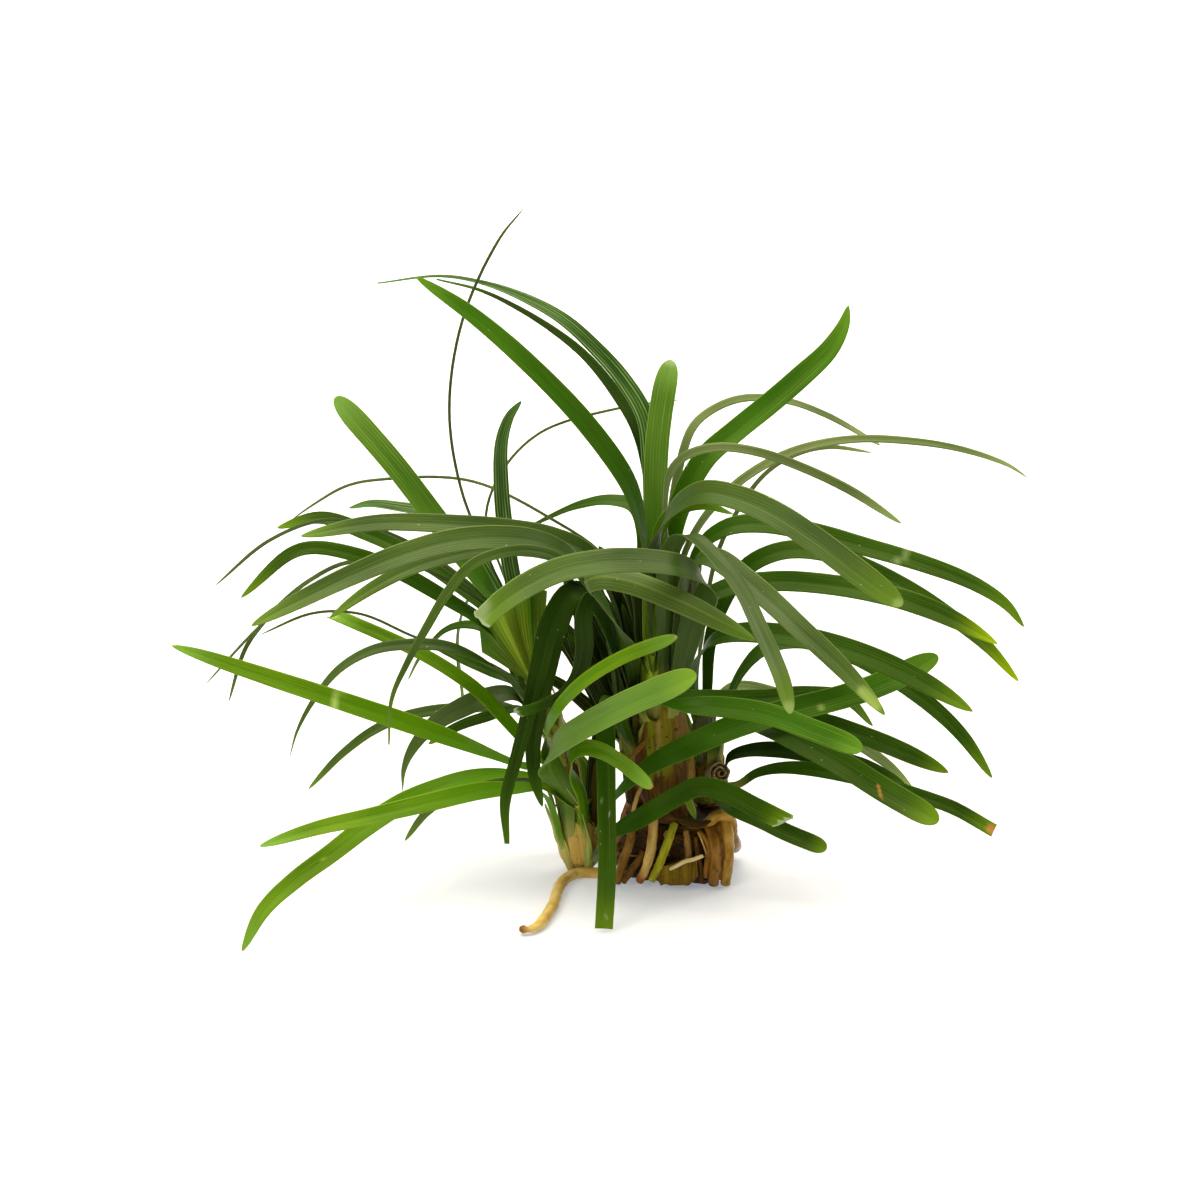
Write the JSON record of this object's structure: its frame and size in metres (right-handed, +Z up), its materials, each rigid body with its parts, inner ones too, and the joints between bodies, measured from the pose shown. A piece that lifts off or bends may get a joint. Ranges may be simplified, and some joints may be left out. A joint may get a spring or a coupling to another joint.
{
  "type": "dwarf mondo grass plant",
  "caption": "Small grass-like clump with narrow arching leaves in several shoots, standing out of its pot on a block of soil and roots.",
  "frame": {"origin": "centre of the root block's flat underside, on the surface that the clump stands on", "axes": "+Z up; -Y is the front, the side that the picture shows; +X to the right as seen from the front"},
  "size_m": [0.151, 0.0971, 0.1175],
  "materials": {
    "leaf": "dark green, waxy, with fine pale veins",
    "young_leaf": "bright yellow-green, waxy",
    "papery_sheath": "dry brown papery sheath, matt",
    "bulb": "tan to cream, fibrous, matt",
    "green_sheath": "yellow-green, striped, satin",
    "soil": "dark moist potting soil with matted roots, matt",
    "root": "cream fleshy root, satin"
  },
  "bodies": {
    "root": {"root_plug": "soil", "free_root": "root", "left_crown": "bulb", "centre_crown": "papery_sheath", "inner_crown": "papery_sheath", "right_crown": "papery_sheath", "back_crown": "green_sheath", "left_leaf_01": "young_leaf", "left_leaf_02": "young_leaf", "left_leaf_03": "young_leaf", "left_leaf_04": "young_leaf", "left_leaf_05": "young_leaf", "left_leaf_06": "young_leaf", "left_leaf_07": "young_leaf", "left_leaf_08": "young_leaf", "left_leaf_09": "young_leaf", "centre_leaf_01": "leaf", "centre_leaf_02": "leaf", "centre_leaf_03": "leaf", "centre_leaf_04": "leaf", "centre_leaf_05": "leaf", "centre_leaf_06": "leaf", "centre_leaf_07": "leaf", "centre_leaf_08": "leaf", "centre_leaf_09": "leaf", "centre_leaf_10": "leaf", "centre_leaf_11": "leaf", "centre_leaf_12": "leaf", "centre_leaf_13": "leaf", "centre_leaf_14": "leaf", "centre_leaf_15": "leaf", "centre_leaf_16": "leaf", "inner_leaf_01": "leaf", "inner_leaf_02": "leaf", "inner_leaf_03": "leaf", "inner_leaf_04": "leaf", "inner_leaf_05": "leaf", "inner_leaf_06": "leaf", "inner_leaf_07": "leaf", "inner_leaf_08": "leaf", "inner_leaf_09": "leaf", "inner_leaf_10": "leaf", "right_leaf_01": "leaf", "right_leaf_02": "leaf", "right_leaf_03": "leaf", "right_leaf_04": "leaf", "right_leaf_05": "leaf", "right_leaf_06": "leaf", "right_leaf_07": "leaf", "right_leaf_08": "leaf", "right_leaf_09": "leaf", "back_leaf_01": "leaf", "back_leaf_02": "leaf", "back_leaf_03": "leaf", "back_leaf_04": "leaf", "back_leaf_05": "leaf", "back_leaf_06": "leaf", "back_leaf_07": "leaf", "back_leaf_08": "leaf", "back_leaf_09": "leaf"}
  },
  "joints": []
}
